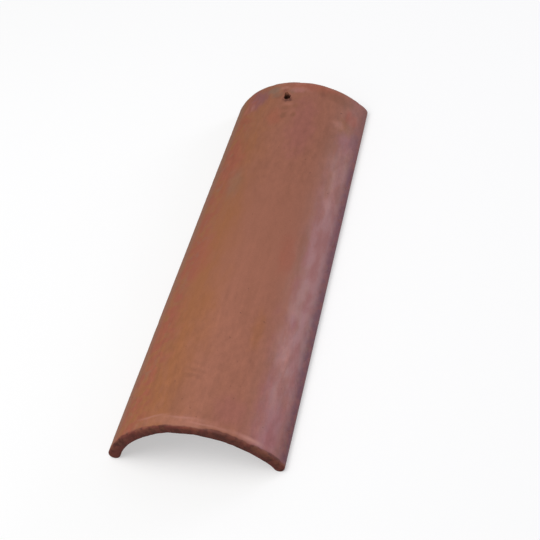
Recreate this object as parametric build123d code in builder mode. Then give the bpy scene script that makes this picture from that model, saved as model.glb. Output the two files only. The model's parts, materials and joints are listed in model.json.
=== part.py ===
from build123d import *

# Tapered barrel roof tile: one arched shell of fired clay with a nail hole at its narrow head.
# Frame: X across the tile, Y along it from the wide butt (-Y) to the narrow head (+Y), Z up.
# The origin is on the ground, midway between the feet and midway along the tile. Millimetres.

import os
from math import atan2, cos, degrees, sin, tan

# Overall form, measured over the outside of the shell
length = 450.0
butt_width = 168.0
head_width = 142.0
butt_height = 59.0
head_height = 47.0

# Wall and edges
wall = 11.5
foot_flattening = 1.0  # how far the round long edges settle on the drying board
butt_edge_radius = 2.5
head_edge_radius = 2.4

# Nail hole, punched square to the crown line, a little to one side of it
nail_hole_radius = 3.0
nail_hole_from_head = 25.0
nail_hole_off_centre = -3.2

# Mouth of the nail hole, pear-shaped because the punch was levered towards the head
mouth_turn = 20.0  # degrees left of the line towards the head
mouth_depth = 6.0
mouth_clearance = 1.0  # the cut starts this far above the crown
mouth_ledge = 0.2  # step round the nail hole at the bottom of the mouth
mouth_flare = 0.5  # how much wider than the nail hole the mouth is at its top
mouth_tip_radius = 1.5
mouth_reach = 7.2
mouth_floor_reach = 2.4

butt_y = -length / 2
head_y = length / 2


def wall_section(plane, width, height):
    """Section of the shell: an arched band of even thickness whose two long edges are full rounds."""
    round_radius = wall / 2
    foot_x = width / 2 - round_radius
    foot_z = round_radius - foot_flattening
    rise = height - round_radius - foot_z
    arch_radius = (foot_x**2 + rise**2) / (2 * rise)
    arch_centre = (0, height - round_radius - arch_radius)
    half_angle = 2 * degrees(atan2(rise, foot_x))
    first_side = 90 - half_angle  # 90 degrees is straight up to the crown
    last_side = 90 + half_angle
    with BuildSketch(plane) as section:
        with BuildLine():
            CenterArc(arch_centre, arch_radius + round_radius, first_side, 2 * half_angle)
            CenterArc((-foot_x, foot_z), round_radius, last_side, 180)
            CenterArc(arch_centre, arch_radius - round_radius, first_side, 2 * half_angle)
            CenterArc((foot_x, foot_z), round_radius, first_side, -180)
        make_face()
    return section.sketch


def mouth_outline(plane, radius, reach):
    """Pear shape round the nail hole: its own circle joined to a small one further towards the head."""
    with BuildSketch(plane) as outline:
        Circle(radius)
        with Locations((0, reach)):
            Circle(mouth_tip_radius)
        make_hull()
    return outline.sketch


# The crown falls from butt to head, and the nail hole stands square to that line
crown_slope = atan2(butt_height - head_height, length)
hole_y = head_y - nail_hole_from_head
hole_z = head_height + nail_hole_from_head * tan(crown_slope)
hole_plane = Plane(
    origin=(nail_hole_off_centre, hole_y, hole_z),
    x_dir=(1, 0, 0),
    z_dir=(0, sin(crown_slope), cos(crown_slope)),
)

with BuildPart() as tile:
    butt = wall_section(Plane.XZ.offset(-butt_y), butt_width, butt_height)
    head = wall_section(Plane.XZ.offset(-head_y), head_width, head_height)
    loft([butt, head], ruled=True)

    # Both ends are trimmed square and their edges wiped round
    fillet(tile.faces().sort_by(Axis.Y)[0].edges(), butt_edge_radius)
    fillet(tile.faces().sort_by(Axis.Y)[-1].edges(), head_edge_radius)

    # The long edges flatten where the wet tile stood on the board
    split(bisect_by=Plane.XY, keep=Keep.TOP)

    # Round where the nail passes, pear-shaped and tapering above it
    with Locations(hole_plane):
        Hole(nail_hole_radius)
    mouth_plane = hole_plane.rotated((0, 0, mouth_turn))
    mouth_top = mouth_outline(
        mouth_plane.offset(mouth_clearance), nail_hole_radius + mouth_flare, mouth_reach
    )
    mouth_floor = mouth_outline(
        mouth_plane.offset(-mouth_depth), nail_hole_radius + mouth_ledge, mouth_floor_reach
    )
    loft([mouth_floor, mouth_top], ruled=True, mode=Mode.SUBTRACT)

tile.part.label = "barrel_tile"
os.makedirs("parts", exist_ok=True)
export_step(tile.part, "parts/barrel_tile.step")
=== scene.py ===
import json
from math import pi, radians

import bpy
from bpy.props import FloatProperty, FloatVectorProperty, IntProperty, PointerProperty
from bpy.types import Operator, Panel, PropertyGroup
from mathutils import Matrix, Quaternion, Vector


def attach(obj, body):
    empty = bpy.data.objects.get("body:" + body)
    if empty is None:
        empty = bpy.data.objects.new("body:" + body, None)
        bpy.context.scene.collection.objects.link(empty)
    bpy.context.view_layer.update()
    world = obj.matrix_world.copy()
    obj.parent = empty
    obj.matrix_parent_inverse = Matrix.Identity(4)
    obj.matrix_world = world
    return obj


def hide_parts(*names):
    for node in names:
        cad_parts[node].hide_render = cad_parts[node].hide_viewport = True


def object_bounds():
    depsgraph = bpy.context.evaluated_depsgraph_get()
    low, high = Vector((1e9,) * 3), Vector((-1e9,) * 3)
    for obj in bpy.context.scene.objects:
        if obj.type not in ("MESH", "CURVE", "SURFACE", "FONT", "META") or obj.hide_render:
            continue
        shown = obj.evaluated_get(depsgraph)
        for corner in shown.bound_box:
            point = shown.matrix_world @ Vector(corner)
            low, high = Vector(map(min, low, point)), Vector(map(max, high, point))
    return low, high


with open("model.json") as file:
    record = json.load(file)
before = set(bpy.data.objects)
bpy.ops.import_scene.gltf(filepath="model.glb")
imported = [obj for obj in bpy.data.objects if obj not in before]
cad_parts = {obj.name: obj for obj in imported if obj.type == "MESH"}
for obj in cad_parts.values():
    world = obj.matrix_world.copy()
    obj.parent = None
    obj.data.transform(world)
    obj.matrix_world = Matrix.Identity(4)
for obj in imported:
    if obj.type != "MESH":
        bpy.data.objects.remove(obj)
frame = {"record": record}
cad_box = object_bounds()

bl_info = {
    "name": "Barrel Roof Tile",
    "version": (1, 0, 0),
    "blender": (4, 5, 0),
    "location": "3D View > Sidebar > Roof Tile",
    "description": "Makes a tapered barrel roof tile of fired clay, with a floor, lights and camera",
    "category": "Add Mesh",
}

TILE_NODE = "barrel_tile"
NAIL_HOLE = next(mount for mount in frame["record"]["mounts"] if mount["name"] == "nail_hole")
TINY = 1e-7  # keeps a divisor above nought
SENSOR_WIDTH = 36.0  # of the camera, in millimetres
FLOOR_REACH = 6.0  # from the tile to the edge of the floor
FLOOR_GLOW = 0.46  # lifts the lit floor to white where the camera or a mirror sees it
FILL_TONE = (0.92, 0.96, 1.0, 1.0)
FILL_STRENGTH = 0.35

# Soft panels of light: name, place, width, power in watts, tone
PANELS = (
    ("high_panel", (-0.45, -0.3, 1.95), 1.6, 30.0, (1.0, 0.98, 0.96)),
    ("low_panel", (1.5, 1.22, 0.45), 0.8, 10.0, (0.88, 0.84, 1.0)),
)


# Sizes and colours that a user would change


def metres(label, note, default):
    """A length property that Blender shows in the scene's own unit."""
    return FloatProperty(
        name=label,
        description=note,
        default=default,
        min=0.0,
        precision=4,
        subtype="DISTANCE",
        unit="LENGTH",
    )


def angle(label, note, degrees):
    """An angle property, given in degrees."""
    return FloatProperty(name=label, description=note, default=radians(degrees), subtype="ANGLE")


def colour(label, note, default):
    """A linear colour property with a swatch."""
    return FloatVectorProperty(
        name=label, description=note, default=default, size=3, min=0.0, max=1.0, subtype="COLOR"
    )


def settings_of(group):
    """The names of a group's own settings."""
    return [name for name in group.bl_rna.properties.keys() if name not in ("name", "rna_type")]


class TileForm(PropertyGroup):
    """Overall form of the shell, measured over its outside."""

    length: metres("Length", "From the butt to the head", 2 * cad_box[1].y)
    butt_width: metres("Butt width", "Across the feet at the wide end", 0.168)
    head_width: metres("Head width", "Across the feet at the narrow end", 0.142)
    butt_height: metres("Butt height", "From the ground to the crown at the wide end", 0.059)
    head_height: metres("Head height", "From the ground to the crown at the narrow end", 0.047)
    wall: metres("Wall", "Thickness of the clay", 0.0115)
    foot_flattening: metres("Foot flattening", "How far the round long edges settle on the board", 0.001)
    butt_edge_radius: metres("Butt edge radius", "Rounding of the wide end's edges", 0.0025)
    head_edge_radius: metres("Head edge radius", "Rounding of the narrow end's edges", 0.0024)
    hole_radius: metres(
        "Nail hole radius", "Radius of the round part of the nail hole", NAIL_HOLE["dims"]["r_mm"] / 1000
    )
    mouth_turn: angle("Mouth turn", "How far the mouth leans to the left, from the line to the head", 20)
    mouth_depth: metres("Mouth depth", "Depth of the pear-shaped mouth of the nail hole", 0.006)
    mouth_ledge: metres("Mouth ledge", "Step round the hole at the bottom of the mouth", 0.0002)
    mouth_flare: metres("Mouth flare", "How much wider the mouth is at the top than the hole", 0.0005)
    mouth_tip: metres("Mouth tip radius", "Radius of the mouth's narrow end", 0.0015)
    mouth_reach: metres(
        "Mouth reach", "From the hole to the middle of the mouth's narrow end, at the top", 0.0072
    )
    mouth_floor_reach: metres("Mouth floor reach", "The same, at the bottom of the mouth", 0.0024)


class HandFinish(PropertyGroup):
    """Relief that the maker's hands and tools left in the wet clay."""

    wave_depth: metres("Wave depth", "Slow unevenness of the whole shell", 0.0010)
    streak_depth: metres("Streak depth", "Grooves along the tile from wiping it with wet hands", 0.00012)
    trim_wander: metres("Trim wander", "How far the knife strayed where the ends were cut", 0.0016)
    crease_height: metres("Crease height", "Folds beside the butt's edge", 0.0003)
    nick_depth: metres("Nick depth", "Chips along the edges", 0.0009)
    burr_height: metres("Burr height", "Clay pushed up round the nail hole", 0.0006)
    seed: IntProperty(
        name="Seed", description="Picks another tile out of the kiln", default=7, min=0, max=999
    )


class ClayLook(PropertyGroup):
    """Colours that the kiln gave the clay."""

    terracotta: colour("Terracotta", "Main colour of the fired clay", (0.322, 0.124, 0.078))
    brown: colour("Brown", "Duller patches where the clay was fired less", (0.270, 0.104, 0.062))
    ember: colour("Ember", "Orange-red flashing along the left edge and the head", (0.345, 0.098, 0.060))
    ochre: colour("Ochre", "Yellowish cast of the left flank", (0.322, 0.120, 0.050))
    rust: colour("Rust", "Reddish flecks on the left flank", (0.330, 0.096, 0.056))
    # Mauve is pinkish flashing; down the right flank it is also the painted tint of the sheen
    mauve: colour("Mauve", "Pinkish flashing on the right flank and the head", (0.312, 0.101, 0.099))
    # Plum along the right edge is partly purplish flashing, partly painted shade
    plum: colour("Plum", "Dark purplish flashing, most of it along the right edge", (0.188, 0.076, 0.096))
    ash: colour("Ash", "Grey-green bloom beside the nail hole and along the edges", (0.240, 0.140, 0.098))
    # Maroon on the cut ends is partly dark fired skin, partly painted shade of the butt's end face
    maroon: colour("Maroon", "Dark skin on the cut ends", (0.185, 0.052, 0.040))
    # Rubbed and highlighted: paler clay of rubbed edges, also laid as a painted highlight on the butt's
    # rim and folds and as painted sheen on the right flank
    rubbed_and_highlighted: colour("Rubbed", "Paler clay where the edges were rubbed", (0.480, 0.210, 0.165))
    iron: colour("Iron", "Dark specks of iron", (0.120, 0.040, 0.030))
    # Soot is painted shade of the nail hole's deep walls
    painted_hole_shade: colour("Soot", "Walls of the nail hole", (0.040, 0.010, 0.005))


class Studio(PropertyGroup):
    """The camera of the reference view and the floor."""

    aim: FloatVectorProperty(
        name="Aim",
        description="Point that the camera looks at",
        default=(0.02708, -0.02047, 0.03),
        size=3,
        subtype="TRANSLATION",
        unit="LENGTH",
    )
    distance: metres("Distance", "From the aim to the camera", 1.4292)
    azimuth: angle("Azimuth", "Angle round the tile from its butt", 27.14)
    elevation: angle("Elevation", "Angle above the floor", 46.75)
    roll: angle("Roll", "Tilt of the picture", -18.33)
    lens: FloatProperty(
        name="Lens", description="Focal length in millimetres on a 36 mm sensor", default=100.0, min=10.0
    )
    floor_colour: colour("Floor colour", "Colour of the plain floor", (0.55, 0.55, 0.55))


# Writing node trees as ordinary sums


def usable(sockets, name=None):
    """The first socket in use that has this name, or the first in use."""
    return next(s for s in sockets if s.enabled and name in (None, s.name))


class Value:
    """An output of a node that can be used in sums."""

    def __init__(self, writer, socket):
        self.writer = writer
        self.socket = socket

    def __add__(self, other):
        return self.writer.sum("ADD", self, other)

    def __radd__(self, other):
        return self.writer.sum("ADD", other, self)

    def __sub__(self, other):
        return self.writer.sum("SUBTRACT", self, other)

    def __rsub__(self, other):
        return self.writer.sum("SUBTRACT", other, self)

    def __mul__(self, other):
        return self.writer.sum("MULTIPLY", self, other)

    def __truediv__(self, other):
        return self.writer.sum("DIVIDE", self, other)


class Writer:
    """Adds nodes to a tree and joins them up."""

    nodes_in_row = 16
    column_width = 200
    row_height = 300

    def __init__(self, tree):
        self.tree = tree

    def add(self, kind, settings):
        """Add a node with its settings, set out in rows so that the tree can be read."""
        row, column = divmod(len(self.tree.nodes), self.nodes_in_row)
        node = self.tree.nodes.new(kind)
        node.location = (self.column_width * column, -self.row_height * row)
        for name, value in settings.items():
            setattr(node, name, value)
        return node

    def node(self, kind, inputs=(), output=None, **settings):
        """Add a node, fill its inputs by name and return one of its outputs."""
        node = self.add(kind, settings)
        for name, value in dict(inputs).items():
            for part in value if isinstance(value, list) else [value]:
                self.fill(usable(node.inputs, name), part)
        return Value(self, usable(node.outputs, output)) if node.outputs else node

    def fill(self, socket, value):
        """Join a socket to another node's output, or set it."""
        if isinstance(value, Value):
            self.tree.links.new(value.socket, socket)
        else:
            socket.default_value = value

    def in_order(self, kind, *terms, **settings):
        """Add a node, fill its inputs in their own order and return its outputs."""
        node = self.add(kind, settings)
        for socket, term in zip(node.inputs, terms):
            self.fill(socket, term)
        return [Value(self, socket) for socket in node.outputs]

    def sum(self, operation, *terms):
        """One step of arithmetic."""
        return self.in_order("ShaderNodeMath", *terms, operation=operation)[0]

    def larger(self, a, b):
        return self.sum("MAXIMUM", a, b)

    def smaller(self, a, b):
        return self.sum("MINIMUM", a, b)

    def size(self, a):
        return self.sum("ABSOLUTE", a)

    def sine(self, a):
        return self.sum("SINE", a)

    def cosine(self, a):
        return self.sum("COSINE", a)

    def hypotenuse(self, a, b):
        return self.sum("SQRT", a * a + b * b)

    def blend(self, a, b, share):
        """From a, where the share is 0, to b, where it is 1."""
        return a + (b - a) * share

    def ramp(self, value, start, end, low=0.0, high=1.0):
        """A smooth step from low to high as the value goes from start to end."""
        inputs = {"Value": value, "From Min": start, "From Max": end, "To Min": low, "To Max": high}
        return self.node("ShaderNodeMapRange", inputs, interpolation_type="SMOOTHSTEP")

    def bump(self, value, centre, half_width):
        """1 where the value is at the centre, falling smoothly to 0 at half_width to either side."""
        return self.ramp(self.size(value - centre), 0.0, half_width, 1.0, 0.0)

    def vector(self, x, y, z):
        return self.node("ShaderNodeCombineXYZ", {"X": x, "Y": y, "Z": z})

    def parts(self, vector):
        """The three numbers of a vector."""
        return self.in_order("ShaderNodeSeparateXYZ", vector)

    def shifted(self, vector, by):
        """A vector moved by another."""
        return self.in_order("ShaderNodeVectorMath", vector, by, operation="ADD")[0]

    def noise(self, place, scale, detail=2.0, roughness=0.5):
        """Smooth random numbers round a half, with about one swell in each 1/scale of the place."""
        inputs = {"Vector": place, "Scale": scale, "Detail": detail, "Roughness": roughness}
        return self.node("ShaderNodeTexNoise", inputs)


# The shell


def crown_over_hole(form):
    """The point where the nail hole's axis meets the sloping crown line."""
    mount = Vector(NAIL_HOLE["pos_m"])
    axis = Vector(NAIL_HOLE["axis"])
    slope = (form.butt_height - form.head_height) / form.length
    crown = form.head_height + (form.length / 2 - mount.y) * slope
    return mount + axis * (crown - mount.z) / (axis.z + axis.y * slope)


class ShellTree:
    """Geometry Nodes tree of the tile: a gridded block bent into a tapered arch and cut for its nail."""

    rows_across = 128
    rows_along = 300
    rows_through = 17
    arch_share = 0.945  # share of the block's width that becomes the arch, with the rest its round edges
    crowd_across = 0.35  # how much closer the rows lie at the crown and the long edges
    crowd_along = 0.5  # how much closer the rows lie at the two ends
    swells_per_metre = 11.0
    arch_reach = 0.09  # about half the tile's width, so that swells are as wide as they are long
    steady_butt = 0.06  # over this length from the butt the wall swells only inwards
    trim_reach = 0.03  # how far in from an end the knife's straying shows
    burr_start = 0.0012  # the burr is highest up to here from the mouth's edge
    burr_end = 0.0042
    sharp_corner = radians(42)  # faces that meet at more than this keep a crisp edge
    circle_points = 48
    above_crown = 0.001  # the mouth's cutters start this far above the crown
    lip_wear = 0.0003  # about how far the lip of the mouth is worn back
    worn_depth = 0.0018
    past_wall = 1.3  # how far the bore's cutter goes, in walls

    def __init__(self, form, finish):
        self.tree = bpy.data.node_groups.new("barrel_shell", "GeometryNodeTree")
        self.tree.is_modifier = True
        self.tree.interface.new_socket("Shell", in_out="OUTPUT", socket_type="NodeSocketGeometry")
        self.settings = {}
        for group in (form, finish):
            for name in settings_of(group):
                self.add_input(name, getattr(group, name))
        clay = self.tree.interface.new_socket("clay", in_out="INPUT", socket_type="NodeSocketMaterial")
        self.material_input = clay.identifier
        self.write = Writer(self.tree)
        self.source = self.tree.nodes.new("NodeGroupInput")
        self.crown_over_hole = crown_over_hole(form)
        self.make()

    def add_input(self, name, value):
        """A named input of the tree, with its value kept for the modifier."""
        kind = "NodeSocketInt" if isinstance(value, int) else "NodeSocketFloat"
        socket = self.tree.interface.new_socket(name, in_out="INPUT", socket_type=kind)
        socket.default_value = value
        self.settings[socket.identifier] = value

    def size_of(self, name):
        return Value(self.write, self.source.outputs[name])

    def make(self):
        w = self.write
        block = w.node(
            "GeometryNodeMeshCube",
            {
                "Size": (2.0, 2.0, 2.0),
                "Vertices X": self.rows_across,
                "Vertices Y": self.rows_along,
                "Vertices Z": self.rows_through,
            },
            output="Mesh",
        )
        place, edges, position = self.bent_block()
        shell = self.keep(block, "place", place)
        shell = self.keep(shell, "edges", edges)
        shell = self.mark_faces(shell, "in_hole", 0.0)
        shell = w.node("GeometryNodeSetPosition", {"Geometry": shell, "Position": position})
        shell = self.keep(shell, "marks", self.hand_marks())
        shell = w.node("GeometryNodeSetPosition", {"Geometry": shell, "Offset": self.relief()})
        shell = self.rest_on_ground(shell)
        shell = w.node(
            "GeometryNodeMeshBoolean",
            {"Mesh 1": shell, "Mesh 2": self.nail_punch()},
            output="Mesh",
            operation="DIFFERENCE",
            solver="MANIFOLD",
        )
        shell = w.node(
            "GeometryNodeSetShadeSmooth", {"Geometry": shell, "Shade Smooth": True}, domain="FACE"
        )
        corner = w.node("GeometryNodeInputMeshEdgeAngle", output="Unsigned Angle")
        sharp = w.node(
            "FunctionNodeCompare", {"A": corner, "B": self.sharp_corner}, operation="GREATER_THAN"
        )
        shell = w.node(
            "GeometryNodeSetShadeSmooth",
            {"Geometry": shell, "Selection": sharp, "Shade Smooth": False},
            domain="EDGE",
        )
        shell = w.node("GeometryNodeRealizeInstances", {"Geometry": shell})
        shell = w.node("GeometryNodeSetMaterial", {"Geometry": shell, "Material": self.size_of("clay")})
        w.node("NodeGroupOutput", {"Shell": shell})

    def keep(self, geometry, name, value):
        """Store a vector on every point of the geometry."""
        return self.store(geometry, name, value, "FLOAT_VECTOR", "POINT")

    def mark_faces(self, geometry, name, value):
        """Store a number on every face of the geometry."""
        return self.store(geometry, name, value, "FLOAT", "FACE")

    def store(self, geometry, name, value, data_type, domain):
        """Store a named attribute."""
        inputs = {"Geometry": geometry, "Name": name, "Value": value}
        return self.write.node(
            "GeometryNodeStoreNamedAttribute", inputs, data_type=data_type, domain=domain
        )

    def kept(self, name):
        """The three numbers that keep stored."""
        inputs = {"Name": name}
        vector = self.write.node(
            "GeometryNodeInputNamedAttribute", inputs, output="Attribute", data_type="FLOAT_VECTOR"
        )
        return self.write.parts(vector)

    def bent_block(self):
        """Each point's place on the wall, its nearness to the edges and where it goes."""
        w = self.write
        block_x, block_y, block_z = w.parts(w.node("GeometryNodeInputPosition"))
        half_wall = self.size_of("wall") / 2
        half_length = self.size_of("length") / 2

        # Rows crowd where the shape turns quickest
        across = block_x - w.sine(block_x * (2 * pi)) * (self.crowd_across / (2 * pi))
        along = block_y * (1 - self.crowd_along) + w.sine(block_y * (pi / 2)) * self.crowd_along
        side = w.sum("SIGN", across)
        arch = w.smaller(w.size(across) / self.arch_share, 1.0) * side

        # Long edges: the block's square edge is drawn in to a full round
        beyond = w.larger(w.size(across) - self.arch_share, 0.0) / (1 - self.arch_share)
        spread = w.larger(w.hypotenuse(beyond, block_z), TINY)
        reach = w.larger(beyond, w.size(block_z)) * half_wall

        # Both ends: their edges are rounded, and the end face keeps the middle of the wall
        at_head = w.sum("GREATER_THAN", block_y, 0.0)
        edge_radius = w.blend(
            self.size_of("butt_edge_radius"), self.size_of("head_edge_radius"), at_head
        )
        core = half_wall - edge_radius
        straight = half_length - edge_radius
        outward = w.larger(reach - core, 0.0) / edge_radius
        endward = w.larger(w.size(along * half_length) - straight, 0.0) / edge_radius
        turn = w.larger(outward, endward) * edge_radius / w.larger(w.hypotenuse(outward, endward), TINY)
        reach = w.smaller(reach, core) + outward * turn
        y = (w.smaller(w.size(along * half_length), straight) + endward * turn) * w.sum("SIGN", block_y)
        tangential = reach * beyond / spread * side
        radial = reach * block_z / spread

        # The whole wall swells and sags a little, only inwards at the butt, where the box leaves no room.
        # The seed moves this noise and the shell's others to another place.
        seed = self.size_of("seed")
        swell = w.noise(w.vector(arch * self.arch_reach, y, seed * 0.37), self.swells_per_metre, 1.0)
        inland = w.ramp(y + half_length, 0.0, self.steady_butt)
        sag = (w.larger(swell - 0.2, 0.0) - inland * 0.3) * self.size_of("wave_depth")
        sag = sag * (1 - arch * arch * 0.6)

        # The section at each end, and a straight line between the two along the tile
        share = y / self.size_of("length") + 0.5
        butt_x, butt_z, butt_arc = self.section("butt", arch, tangential, radial - sag)
        head_x, head_z, head_arc = self.section("head", arch, tangential, radial - sag)
        position = w.vector(w.blend(butt_x, head_x, share), y, w.blend(butt_z, head_z, share))
        arc = w.blend(butt_arc, head_arc, share)
        place = w.vector(arc + tangential, y + half_length, radial / half_wall)
        end = endward * w.sum("SIGN", block_y)
        edges = w.vector(outward * endward, end, arch + beyond * side)
        return place, edges, position

    def section(self, end, arch, tangential, radial):
        """A point of the arched band at one end of the tile, and its distance round the arch."""
        w = self.write
        half_wall = self.size_of("wall") / 2
        foot_x = self.size_of(end + "_width") / 2 - half_wall
        foot_z = half_wall - self.size_of("foot_flattening")
        rise = self.size_of(end + "_height") - half_wall - foot_z
        radius = (foot_x * foot_x + rise * rise) / (rise * 2)
        centre = self.size_of(end + "_height") - half_wall - radius
        angle = arch * w.sum("ARCTAN2", rise, foot_x) * 2
        out = radius + radial
        x = w.sine(angle) * out + w.cosine(angle) * tangential
        z = w.cosine(angle) * out - w.sine(angle) * tangential + centre
        return x, z, angle * radius

    def hand_marks(self):
        """How strong the folds by the butt, the burr round the nail hole and the chips are here."""
        w = self.write
        across, along, depth = self.kept("place")
        arris, _, share = self.kept("edges")
        outside = w.ramp(depth, 0.2, 0.9)
        seed = self.size_of("seed")

        wander = (w.noise(w.vector(across * 40, seed, 0.0), 1.0) - 0.5) * 0.006
        fold = 0.0
        # Each fold: distance from the butt, half its width, place across, half its length
        for from_butt, half_width, middle, half_length in (
            (0.0125, 0.0020, -0.030, 0.024),
            (0.0105, 0.0018, 0.000, 0.026),
            (0.0062, 0.0014, 0.020, 0.022),
        ):
            ridge = w.bump(along - wander, from_butt, half_width) * w.bump(across, middle, half_length)
            fold = w.larger(fold, ridge)

        # Chips lie along the edges of both ends and, fewer, along the feet
        place = w.node("GeometryNodeInputPosition")
        moved = w.shifted(place, w.vector(seed, seed * 0.37, seed * 0.73))
        by_foot = w.bump(w.size(share), 0.97, 0.14) * 0.45
        chip = w.ramp(w.noise(moved, 110.0, 2.0), 0.52, 0.72) * w.larger(arris, by_foot)
        return w.vector(fold * outside, self.mouth_ring() * outside, chip)

    def relief(self):
        """How far each point of the shell moves from the ideal form."""
        w = self.write
        across, along, depth = self.kept("place")
        fold, burr, chip = self.kept("marks")
        height = w.parts(w.node("GeometryNodeInputPosition"))[2]
        seed = self.size_of("seed")
        outside = w.ramp(depth, 0.2, 0.9)
        streak = w.noise(w.vector(across * 150, along * 5, seed), 1.0, 2.0) * outside

        normal = w.node("GeometryNodeInputNormal", output="Normal")
        raised = burr * self.size_of("burr_height") + fold * self.size_of("crease_height")
        lowered = streak * self.size_of("streak_depth") + chip * self.size_of("nick_depth")
        lift = (raised - lowered) * w.ramp(height, 0.001, 0.008)
        push = w.node("ShaderNodeVectorMath", {"Vector": normal, "Scale": lift}, operation="SCALE")

        from_head = self.size_of("length") - along
        trim = self.knife_cut(across * 30, 0.0, along) - self.knife_cut(across * 26, 4.0, from_head)
        return w.shifted(push, w.vector(0.0, trim * self.size_of("trim_wander"), 0.0))

    def knife_cut(self, place, key, from_end):
        """How far the knife strayed into the clay of one end here, as a share of the most."""
        w = self.write
        straying = w.noise(w.vector(place, self.size_of("seed"), key), 1.0, 2.0)
        return w.ramp(straying, 0.42, 0.80) * w.ramp(from_end, 0.0, self.trim_reach, 1.0, 0.0)

    def mouth_ring(self):
        """1 at the mouth of the nail hole and close round it, falling to 0 further off."""
        w = self.write
        x, y, z = w.parts(w.node("GeometryNodeInputPosition"))
        away_x = x - NAIL_HOLE["pos_m"][0]
        away_y = y - NAIL_HOLE["pos_m"][1]
        turn = self.size_of("mouth_turn")
        reach = self.size_of("mouth_reach")
        sideways = away_x * w.cosine(turn) + away_y * w.sine(turn)
        ahead = away_y * w.cosine(turn) - away_x * w.sine(turn)
        along_mouth = w.larger(w.smaller(ahead / reach, 1.0), 0.0)
        top = self.size_of("hole_radius") + self.size_of("mouth_flare")
        radius = w.blend(top, self.size_of("mouth_tip"), along_mouth)
        gap = w.hypotenuse(sideways, ahead - reach * along_mouth) - radius
        return w.ramp(gap, self.burr_start, self.burr_end, 1.0, 0.0)

    def rest_on_ground(self, shell):
        """Nothing goes below the ground."""
        w = self.write
        x, y, z = w.parts(w.node("GeometryNodeInputPosition"))
        flat = w.vector(x, y, w.larger(z, 0.0))
        return w.node("GeometryNodeSetPosition", {"Geometry": shell, "Position": flat})

    def nail_punch(self):
        """Closed solids that cut the nail hole: its mouth, its worn lip and the round hole below."""
        w = self.write
        radius = self.size_of("hole_radius")
        tip = self.size_of("mouth_tip")
        top = radius + self.size_of("mouth_flare")
        floor = self.size_of("mouth_depth") * -1
        mouth = self.hull(
            (top, 0.0, self.above_crown),
            (tip, self.size_of("mouth_reach"), self.above_crown),
            (radius + self.size_of("mouth_ledge"), 0.0, floor),
            (tip, self.size_of("mouth_floor_reach"), floor),
        )
        worn = self.hull(
            (top + self.lip_wear * 2, 0.0, self.above_crown),
            (top - self.lip_wear * 1.4, 0.0, -self.worn_depth),
        )
        bore = self.hull((radius, 0.0, 0.0), (radius, 0.0, self.size_of("wall") * -self.past_wall))

        # The cut faces carry the place on the skin that they are cut from
        mount = Vector(NAIL_HOLE["pos_m"])
        on_skin = (mount.x, mount.y + cad_box[1].y, 1.0)
        tilt = Vector((0.0, 0.0, 1.0)).rotation_difference(Vector(NAIL_HOLE["axis"])).to_euler()
        between = pi / self.circle_points  # keeps the corners of crossing circles apart
        cutters = []
        # The mouth and the bore get the hole's painted shade; the worn lip does not
        for solid, shaded_walls, more in ((mouth, 1.0, 0.0), (worn, 0.0, between), (bore, 1.0, between)):
            turn = w.vector(0.0, 0.0, self.size_of("mouth_turn") + more)
            turned = w.node("GeometryNodeTransform", {"Geometry": solid, "Rotation": turn})
            seat = {"Translation": tuple(self.crown_over_hole), "Rotation": tuple(tilt)}
            moved = w.node("GeometryNodeTransform", {"Geometry": turned, **seat})
            marked = self.keep(moved, "place", on_skin)
            for name in ("edges", "marks"):
                marked = self.keep(marked, name, (0.0, 0.0, 0.0))
            cutters.append(self.mark_faces(marked, "in_hole", shaded_walls))
        return cutters

    def hull(self, *rings):
        """The solid wrapped round level circles, each given as radius, forward reach and height."""
        w = self.write
        circles = []
        for radius, forward, height in rings:
            circle = w.node("GeometryNodeMeshCircle", {"Vertices": self.circle_points, "Radius": radius})
            shift = w.vector(0.0, forward, height)
            circles.append(w.node("GeometryNodeTransform", {"Geometry": circle, "Translation": shift}))
        joined = w.node("GeometryNodeJoinGeometry", {"Geometry": circles})
        return w.node("GeometryNodeConvexHull", {"Geometry": joined}, output="Convex Hull")


def settled_mesh(name, tree, settings):
    """Run a Geometry Nodes tree on an empty object and return its result as a plain object."""
    host = bpy.data.objects.new(name + "_host", bpy.data.meshes.new(name + "_host"))
    bpy.context.scene.collection.objects.link(host)
    modifier = host.modifiers.new("form", "NODES")
    modifier.node_group = tree
    for identifier, value in settings.items():
        modifier[identifier] = value
    graph = bpy.context.evaluated_depsgraph_get()
    mesh = bpy.data.meshes.new_from_object(host.evaluated_get(graph), depsgraph=graph)
    host.modifiers.remove(modifier)
    bpy.data.objects.remove(host)
    mesh.name = name
    made = bpy.data.objects.new(name, mesh)
    bpy.context.scene.collection.objects.link(made)
    return made


# Fired clay


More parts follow.
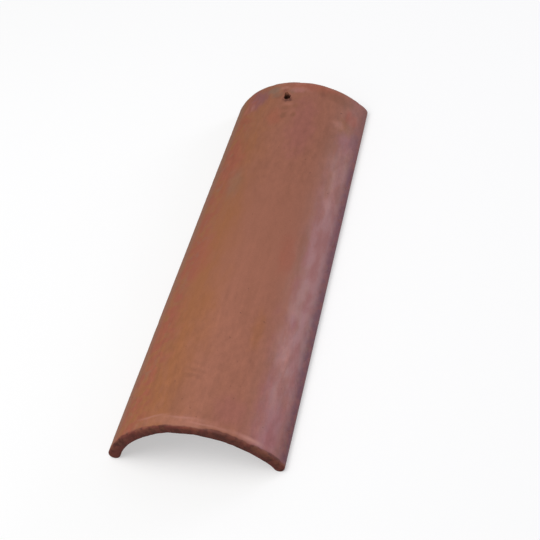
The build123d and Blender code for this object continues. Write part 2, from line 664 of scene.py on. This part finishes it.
class ClayShader(Writer):
    """Material of hand-finished fired clay, whose patches and streaks follow the wall of the tile."""

    def __init__(self, look, crown):
        self.look = look
        self.crown = crown
        self.material = bpy.data.materials.new("fired_clay")
        self.material.use_nodes = True
        super().__init__(self.material.node_tree)
        self.tree.nodes.clear()
        self.across, self.along, self.depth = self.attribute("place")
        _, self.end, self.share = self.attribute("edges")
        self.fold = self.attribute("marks")[0]
        self.in_hole = self.node("ShaderNodeAttribute", output="Fac", attribute_name="in_hole")
        self.solid = self.node("ShaderNodeTexCoord", output="Object")
        self.height = self.parts(self.solid)[2]
        self.outside = self.ramp(self.depth, 0.0, 0.7)
        self.cut_end = self.ramp(self.size(self.end), 0.45, 1.0)
        self.colour = (*look.terracotta, 1.0)
        self.flame_marks()
        self.wiping_marks()
        self.edge_marks()
        self.end_marks()
        self.specks_and_hole()
        self.finish()

    def attribute(self, name):
        """The three numbers that the shell tree stored under this name."""
        return self.parts(self.node("ShaderNodeAttribute", output="Vector", attribute_name=name))

    def lay(self, name, share):
        """Lay a named colour over what is there."""
        inputs = {"Factor": share, "A": self.colour, "B": (*getattr(self.look, name), 1.0)}
        self.colour = self.node("ShaderNodeMix", inputs, data_type="RGBA")

    def shade(self, amount):
        """Make what is there lighter or darker."""
        grey = self.node("ShaderNodeCombineColor", {"Red": amount, "Green": amount, "Blue": amount})
        inputs = {"Factor": 1.0, "A": self.colour, "B": grey}
        self.colour = self.node("ShaderNodeMix", inputs, data_type="RGBA", blend_type="MULTIPLY")

    def mottle(self, per_across, per_along, key, detail=2.0):
        """Smooth random numbers with so many swells per metre each way; the key picks different ones."""
        u = self.across * per_across
        v = self.along * per_along
        place = self.vector(u * 0.8 + v * 0.6, v * 0.8 - u * 0.6, self.depth * 0.7 + key)
        return self.noise(place, 1.0, detail, 0.55)

    def ragged_spots(self, per_across, per_along, key, start, end):
        """Spots with ragged edges: 1 in the spots and 0 between them, more spots for a lower start."""
        return self.ramp(self.mottle(per_across, per_along, key, 3.0), start, end)

    def flame_marks(self):
        """Broad zones, soft patches with painted sheen on the right flank, small marks by the nail hole
        with a painted shadow at its near lip, and the left flank's flecks.
        """
        sway = (self.mottle(60, 30, 11.0, 3.0) - 0.5) * 0.030
        across = self.across + sway
        along = self.along - sway * 1.8

        broad = self.mottle(34, 12, 3.0)
        left = self.ramp(across + self.along * 0.035, 0.016, -0.026) * self.outside
        right = self.ramp(across, 0.048, 0.068) * self.outside
        self.lay("ochre", left * self.ramp(broad, 0.25, 0.55, 0.65, 1.0))
        # Mauve down the right flank: partly pinkish flashing, partly the painted tint of the sheen
        right = right * self.ramp(broad, 0.35, 0.60, 1.0, 0.7)
        self.lay("mauve", right * self.ramp(along, 0.27, 0.34, 1.0, 0.5))
        self.lay("brown", self.ramp(self.mottle(48, 16, 5.0), 0.50, 0.72) * 0.45)
        self.lay("terracotta", self.ramp(self.mottle(70, 26, 8.0), 0.52, 0.70) * 0.35)

        # Each patch: colour, place across and along, half its width and length, strength
        patches = (
            ("ember", -0.045, 0.335, 0.018, 0.032, 0.75),
            ("ember", -0.043, 0.210, 0.016, 0.030, 0.60),
            ("ember", 0.044, 0.215, 0.008, 0.026, 0.40),
            ("ochre", -0.032, 0.137, 0.026, 0.024, 0.70),
            ("ochre", -0.052, 0.045, 0.020, 0.030, 0.60),
            ("ochre", 0.060, 0.404, 0.010, 0.015, 0.60),
            ("ochre", 0.038, 0.118, 0.006, 0.024, 0.55),
            ("ash", -0.030, 0.303, 0.010, 0.020, 0.35),
            ("mauve", -0.040, 0.428, 0.014, 0.016, 0.70),
            ("plum", -0.034, 0.431, 0.009, 0.012, 0.50),
            ("mauve", -0.045, 0.440, 0.009, 0.012, 0.60),
            ("plum", -0.044, 0.440, 0.009, 0.012, 0.30),
            ("mauve", 0.020, 0.385, 0.014, 0.050, 0.35),
            ("mauve", 0.038, 0.026, 0.016, 0.018, 0.30),
            ("mauve", 0.067, 0.386, 0.012, 0.014, 0.70),
            ("plum", 0.074, 0.393, 0.006, 0.014, 0.40),
            ("rubbed_and_highlighted", 0.053, 0.404, 0.006, 0.007, 0.40),
            # The next three are painted sheen down the right flank
            ("rubbed_and_highlighted", 0.0655, 0.304, 0.005, 0.022, 0.32),
            ("rubbed_and_highlighted", 0.0645, 0.336, 0.004, 0.010, 0.25),
            ("rubbed_and_highlighted", 0.067, 0.105, 0.006, 0.022, 0.28),
            ("rubbed_and_highlighted", 0.017, 0.440, 0.007, 0.005, 0.22),
            ("brown", 0.055, 0.225, 0.005, 0.034, 0.70),
            ("terracotta", 0.062, 0.325, 0.005, 0.026, 0.80),
            ("brown", 0.048, 0.375, 0.010, 0.022, 0.50),
            ("ember", 0.020, 0.444, 0.030, 0.007, 0.60),
            ("brown", 0.046, 0.438, 0.020, 0.007, 0.90),
            ("ember", 0.065, 0.420, 0.008, 0.010, 0.90),
            ("rubbed_and_highlighted", 0.006, 0.449, 0.030, 0.005, 0.30),
            ("rubbed_and_highlighted", -0.008, 0.007, 0.036, 0.007, 0.25),
            ("ember", -0.010, 0.396, 0.009, 0.012, 0.45),
        )
        ragged = (self.mottle(170, 80, 31.0, 3.0) - 0.5) * 1.2
        self.lay_patches(patches, self.across + sway * 0.3, self.along - sway * 0.5, ragged)

        # Small marks beside the head, most of them round the nail hole, keep their places
        spots = (
            ("ash", -0.0190, 0.4380, 0.008, 0.006, 0.80),
            ("brown", -0.0130, 0.4285, 0.006, 0.005, 0.70),
            ("ash", -0.0150, 0.4300, 0.006, 0.005, 0.45),
            ("rubbed_and_highlighted", -0.0085, 0.4400, 0.005, 0.003, 0.35),
            ("ash", 0.0005, 0.4345, 0.004, 0.004, 0.45),
            ("mauve", 0.0060, 0.4360, 0.007, 0.004, 0.50),
            ("rubbed_and_highlighted", 0.0065, 0.4375, 0.009, 0.005, 0.40),
            ("rubbed_and_highlighted", -0.0415, 0.4205, 0.003, 0.006, 0.35),
            ("rubbed_and_highlighted", -0.0525, 0.4215, 0.004, 0.007, 0.30),
            ("maroon", 0.0315, 0.4355, 0.004, 0.006, 0.20),
            ("rubbed_and_highlighted", 0.0010, 0.4150, 0.006, 0.002, 0.15),
            # Painted shadow at the near lip of the nail hole
            ("iron", -0.0020, 0.4216, 0.0050, 0.0040, 1.00),
            ("maroon", -0.0070, 0.4355, 0.0025, 0.0035, 0.45),
            ("brown", -0.0020, 0.4090, 0.005, 0.004, 0.90),
            ("brown", 0.0075, 0.4130, 0.003, 0.004, 0.80),
            ("brown", -0.0015, 0.3975, 0.004, 0.005, 1.00),
            ("brown", 0.0085, 0.3995, 0.003, 0.004, 0.90),
        )
        self.lay_patches(spots, self.across, self.along, (self.mottle(400, 300, 33.0) - 0.5) * 0.8)

        # The left flank is broken into small flecks, fewer beside the head, and its edge is ashen
        flank = self.ramp(across, -0.028, -0.050)
        flank = flank * self.ramp(along, 0.405, 0.430, 1.0, 0.4) * self.outside
        for name, key, start, strength in (
            ("rust", 61.0, 0.42, 0.85),
            ("ochre", 65.0, 0.53, 0.70),
            ("ash", 69.0, 0.56, 0.35),
            ("ember", 13.0, 0.53, 0.60),
        ):
            self.lay(name, flank * self.ragged_spots(80, 100, key, start, start + 0.14) * strength)
        self.lay("ash", self.ramp(self.share, -0.66, -0.86) * self.outside * 0.55)

    def lay_patches(self, patches, across, along, ragged):
        """Lay soft ovals of named colours, with ragged outlines."""
        for name, centre, middle, half_width, half_length, strength in patches:
            away = self.hypotenuse((across - centre) / half_width, (along - middle) / half_length)
            self.lay(name, self.ramp(away + ragged, 1.35, 0.35) * self.outside * strength)

    def wiping_marks(self):
        """Faint streaks of a wet hand, ripples of fingers near the butt, blotches and grain, and a
        painted falloff of light towards the head.
        """
        self.wiping = self.mottle(210, 9, 0.0, 3.0)
        near_butt = self.ramp(self.along, 0.30, 0.10, 0.35, 1.0)
        streaks = 1 + (self.wiping - 0.5) * near_butt * 0.22
        pale = self.bump(self.across + (self.along - 0.12) * 0.05, 0.003, 0.003)
        pale = pale * self.bump(self.along, 0.118, 0.030)

        # Ripples where the fingers stopped, and a few strokes along the tile beside them
        ripple_spacing = 0.0075
        stroke_spacing = 0.010
        unsteady = self.mottle(120, 120, 53.0) * 0.006
        drawn = self.along + self.across * 0.3 + unsteady
        fingers = self.bump(self.across, -0.0025, 0.014) * self.bump(self.along, 0.062, 0.020)
        stopped = self.sine(drawn * (2 * pi / ripple_spacing)) * fingers
        scratched = self.across + self.along * 0.15 + unsteady
        strokes = self.bump(self.across, 0.0425, 0.011) * self.bump(self.along, 0.0825, 0.014)
        stroked = self.sine(scratched * (2 * pi / stroke_spacing)) * strokes
        self.ripples = (stopped + stroked) * self.outside

        # Blotches and grain, and a painted falloff of the light, darker towards the head
        blotches = self.mottle(230, 110, 51.0, 4.0) - 0.5
        unwiped = self.ramp(self.size(self.along - 0.22), 0.03, 0.12, 0.30, 1.0)
        self.grain = self.noise(self.solid, 900.0, 3.0, 0.6)
        fine = self.ramp(self.grain, 0.25, 0.75, 0.95, 1.05)
        painted_falloff = self.ramp(self.along, 0.03, 0.42, 1.05, 0.93)
        marks = 1 + pale * 0.13 + self.ripples * 0.08 + blotches * unwiped * 0.42
        self.shade(streaks * fine * painted_falloff * marks)

    def edge_marks(self):
        """The dark right edge, partly purplish flashing and partly painted shade of the low right flank,
        with its broken colours.
        """
        narrower = self.ramp(self.along, 0.0, 0.15, 0.04, 0.0)
        edge = self.ramp(self.share - self.along * 0.12 - narrower, 0.83, 0.96)
        edge = edge * self.ramp(self.along, 0.34, 0.43, 1.0, 0.4)
        broken = self.ramp(self.mottle(200, 120, 17.0, 3.0), 0.35, 0.60, 0.55, 1.0)
        self.lay("plum", edge * broken * self.outside)
        for name, key, strength in (("maroon", 19.0, 0.5), ("ash", 23.0, 0.4)):
            spots = self.ragged_spots(260, 170, key, 0.58, 0.68)
            self.lay(name, edge * spots * self.outside * strength)

    def end_marks(self):
        """The dark skin of the cut ends, partly painted shade, the painted highlight on the rim beside
        the butt and on the folds.
        """
        # The butt's dark skin, partly painted shade of the end face, reaches over its edge, furthest on
        # the right
        shade_overlap = self.ramp(self.share, 0.15, 0.50, 0.0014, 0.0032)
        shade_overlap = shade_overlap + (self.mottle(70, 20, 49.0) - 0.45) * 0.006
        self.dark = self.larger(self.cut_end, self.ramp(self.along - shade_overlap, 0.0009, -0.0009))
        self.lay("maroon", self.dark)
        self.lay("iron", self.dark * self.ragged_spots(150, 110, 37.0, 0.44, 0.58) * 0.9)
        scorched = self.dark * self.ragged_spots(150, 200, 44.0, 0.48, 0.62)
        self.lay("brown", scorched * self.ramp(self.depth, -0.6, 0.6) * 0.5)
        reddened = self.dark * self.ragged_spots(120, 200, 47.0, 0.52, 0.66)
        self.lay("ember", reddened * self.ramp(self.depth, -0.4, 0.8) * 0.42)
        # More painted shade, darkest right of the middle of the butt end
        darkest = self.bump(self.share, 0.38, 0.28) * self.ramp(self.along, 0.2, 0.1)
        self.lay("iron", self.dark * darkest * 0.6)

        # The rim is painted pale, a painted highlight with some rubbing, most of all at the right
        patchy = self.ramp(self.mottle(90, 200, 41.0), 0.36, 0.62, 0.3, 1.0)
        highest = self.bump(self.share, 0.62, 0.18)
        faint = self.ramp(self.share, 0.20, 0.40) * self.ramp(self.share, 0.92, 0.80) * patchy * 0.45
        worn = self.bump(self.along, 0.0068, 0.0036) * self.larger(highest, faint)
        self.lay("rubbed_and_highlighted", worn * self.outside)
        # Painted highlight along the ridges of the folds
        self.lay("rubbed_and_highlighted", self.fold * 0.5)

    def specks_and_hole(self):
        """Dark specks of iron, and the nail hole's walls: brown, with painted shade that turns them near
        black below the lip.
        """
        self.specks = self.ramp(self.noise(self.solid, 300.0, 2.0, 0.5), 0.73, 0.78)
        self.lay("iron", self.specks * 0.6)
        self.lay("brown", self.in_hole)
        # Painted shade: the hole's walls turn near black below the lip
        shaded_walls = self.ramp(self.height, self.crown - 0.0010, self.crown - 0.0034)
        self.lay("painted_hole_shade", self.in_hole * shaded_walls)

    def finish(self):
        """The flashed right flank has a faint gloss, and the ends, the inside and the hole are rough."""
        inside = 1 - self.outside
        rough = self.larger(self.larger(inside, self.cut_end), self.in_hole)
        sanded = self.larger(rough, self.ramp(self.share, -0.25, -0.70) * 0.7)
        roughness = self.ramp(self.wiping, 0.3, 0.7, 0.50, 0.60) + sanded * 0.4
        flashed = self.ramp(self.share, 0.42, 0.76) * self.ramp(self.share, 0.99, 0.90)
        patchy = self.ramp(self.mottle(110, 36, 21.0, 3.0), 0.34, 0.62, 0.40, 1.0)
        towards_butt = self.ramp(self.along, 0.05, 0.34, 0.90, 0.48)
        fading = self.ramp(self.along, 0.36, 0.43, 1.0, 0.3)
        fading = fading * self.ramp(self.along, 0.01, 0.09, 0.7, 1.0)
        coat = flashed * patchy * towards_butt * fading * self.outside * (1 - self.dark)
        height = (
            self.wiping * 0.35
            + self.grain * 0.12
            + self.noise(self.solid, 240.0, 3.0, 0.6) * 0.3
            - self.specks * 0.25
            + self.ripples * 0.3
            + (inside + self.cut_end) * self.noise(self.solid, 600.0, 2.0) * 0.8
        )
        relief = self.node("ShaderNodeBump", {"Strength": 0.5, "Distance": 0.0006, "Height": height})
        clay = self.node(
            "ShaderNodeBsdfPrincipled",
            {
                "Base Color": self.colour,
                "Roughness": roughness,
                "IOR": 1.3,
                "Coat Weight": coat,
                "Coat Roughness": 0.4,
                "Coat IOR": 1.5,
                "Normal": relief,
            },
        )
        self.node("ShaderNodeOutputMaterial", {"Surface": clay})


def floor_material(studio):
    """Plain matt floor that looks white to the camera and still takes the tile's shadow."""
    material = bpy.data.materials.new("plain_floor")
    material.use_nodes = True
    tree = material.node_tree
    tree.nodes.clear()
    w = Writer(tree)
    seen = w.node("ShaderNodeLightPath", output="Is Camera Ray")
    mirrored = w.node("ShaderNodeLightPath", output="Is Glossy Ray")
    through = w.node("ShaderNodeLightPath", output="Is Transmission Ray")
    watched = w.smaller(seen + mirrored + through, 1.0)
    matt = w.node("ShaderNodeBsdfDiffuse", {"Color": (*studio.floor_colour, 1.0)})
    white = (1.0, 1.0, 1.0, 1.0)
    lift = w.node("ShaderNodeEmission", {"Color": white, "Strength": watched * FLOOR_GLOW})
    both = w.in_order("ShaderNodeAddShader", matt, lift)[0]
    w.node("ShaderNodeOutputMaterial", {"Surface": both})
    return material


# Operators


class TILE_OT_add_tile(Operator):
    """Make the fired clay tile in place of its plain solid"""

    bl_idname = "tile.add_tile"
    bl_label = "Add Tile"

    def execute(self, context):
        scene = context.scene
        shell = ShellTree(scene.tile_form, scene.tile_finish)
        clay = ClayShader(scene.tile_look, crown_over_hole(scene.tile_form).z).material
        tile = settled_mesh("clay_tile", shell.tree, {**shell.settings, shell.material_input: clay})
        if len(tile.data.polygons) == 0:
            raise RuntimeError("the shell tree made no faces")
        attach(tile, "root")
        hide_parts(TILE_NODE)
        return {"FINISHED"}


class TILE_OT_add_stage(Operator):
    """Make the floor, the lights and the camera"""

    bl_idname = "tile.add_stage"
    bl_label = "Add Stage"

    def execute(self, context):
        scene = context.scene
        studio = scene.tile_studio
        self.add_floor(scene, studio)
        self.add_camera(scene, studio)
        self.add_lights(scene)
        scene.view_settings.view_transform = "Standard"
        return {"FINISHED"}

    def add_floor(self, scene, studio):
        """A wide plain floor at the tile's feet."""
        mesh = bpy.data.meshes.new("floor")
        ways = ((-1, -1), (1, -1), (1, 1), (-1, 1))
        mesh.from_pydata([(FLOOR_REACH * x, FLOOR_REACH * y, 0) for x, y in ways], [], [(0, 1, 2, 3)])
        mesh.materials.append(floor_material(studio))
        floor = bpy.data.objects.new("floor", mesh)
        scene.collection.objects.link(floor)

    def add_camera(self, scene, studio):
        """The reference view, turned to the photograph's tilt."""
        aim = Vector(studio.aim)
        level = Quaternion((0, 0, 1), studio.azimuth)
        raised = Quaternion((1, 0, 0), -studio.elevation)
        back = level @ raised @ Vector((0, -1, 0))
        data = bpy.data.cameras.new("camera")
        data.sensor_width = SENSOR_WIDTH
        data.lens = studio.lens
        camera = bpy.data.objects.new("camera", data)
        camera.rotation_mode = "QUATERNION"
        camera.location = aim + back * studio.distance
        camera.rotation_quaternion = back.to_track_quat("Z", "Y") @ Quaternion((0, 0, 1), studio.roll)
        scene.collection.objects.link(camera)
        scene.camera = camera

    def add_lights(self, scene):
        """A large panel high on the left, a low cool one for the sheen on the right, and a weak fill."""
        world = bpy.data.worlds.new("room")
        world.use_nodes = True
        background = world.node_tree.nodes["Background"]
        background.inputs["Color"].default_value = FILL_TONE
        background.inputs["Strength"].default_value = FILL_STRENGTH
        scene.world = world
        for panel in PANELS:
            self.add_panel(scene, *panel)

    def add_panel(self, scene, name, place, width, power, tone):
        """A square area light turned towards the tile."""
        data = bpy.data.lights.new(name, "AREA")
        data.shape = "SQUARE"
        data.size = width
        data.energy = power
        data.color = tone
        panel = bpy.data.objects.new(name, data)
        panel.location = place
        panel.rotation_mode = "QUATERNION"
        panel.rotation_quaternion = Vector(place).to_track_quat("Z", "Y")
        scene.collection.objects.link(panel)


class TILE_PT_sidebar(Panel):
    """Sizes, finish and colours of the roof tile"""

    bl_label = "Barrel Roof Tile"
    bl_space_type = "VIEW_3D"
    bl_region_type = "UI"
    bl_category = "Roof Tile"

    def draw(self, context):
        scene = context.scene
        for operator, groups in (
            (TILE_OT_add_tile, (scene.tile_form, scene.tile_finish, scene.tile_look)),
            (TILE_OT_add_stage, (scene.tile_studio,)),
        ):
            for group in groups:
                box = self.layout.box()
                for name in settings_of(group):
                    box.prop(group, name)
            self.layout.operator(operator.bl_idname)


GROUPS = {"tile_form": TileForm, "tile_finish": HandFinish, "tile_look": ClayLook, "tile_studio": Studio}
CLASSES = (*GROUPS.values(), TILE_OT_add_tile, TILE_OT_add_stage, TILE_PT_sidebar)


def register():
    """Make the operators, the panel and the scene's settings known to Blender."""
    for each in CLASSES:
        bpy.utils.register_class(each)
    for name, group in GROUPS.items():
        setattr(bpy.types.Scene, name, PointerProperty(type=group))


def unregister():
    """Take them away again."""
    for name in GROUPS:
        delattr(bpy.types.Scene, name)
    for each in reversed(CLASSES):
        bpy.utils.unregister_class(each)


def main():
    """Build the scene: the tile, the floor, the lights and the camera."""
    register()
    bpy.ops.tile.add_tile()
    bpy.ops.tile.add_stage()


if __name__ == "__main__":
    main()
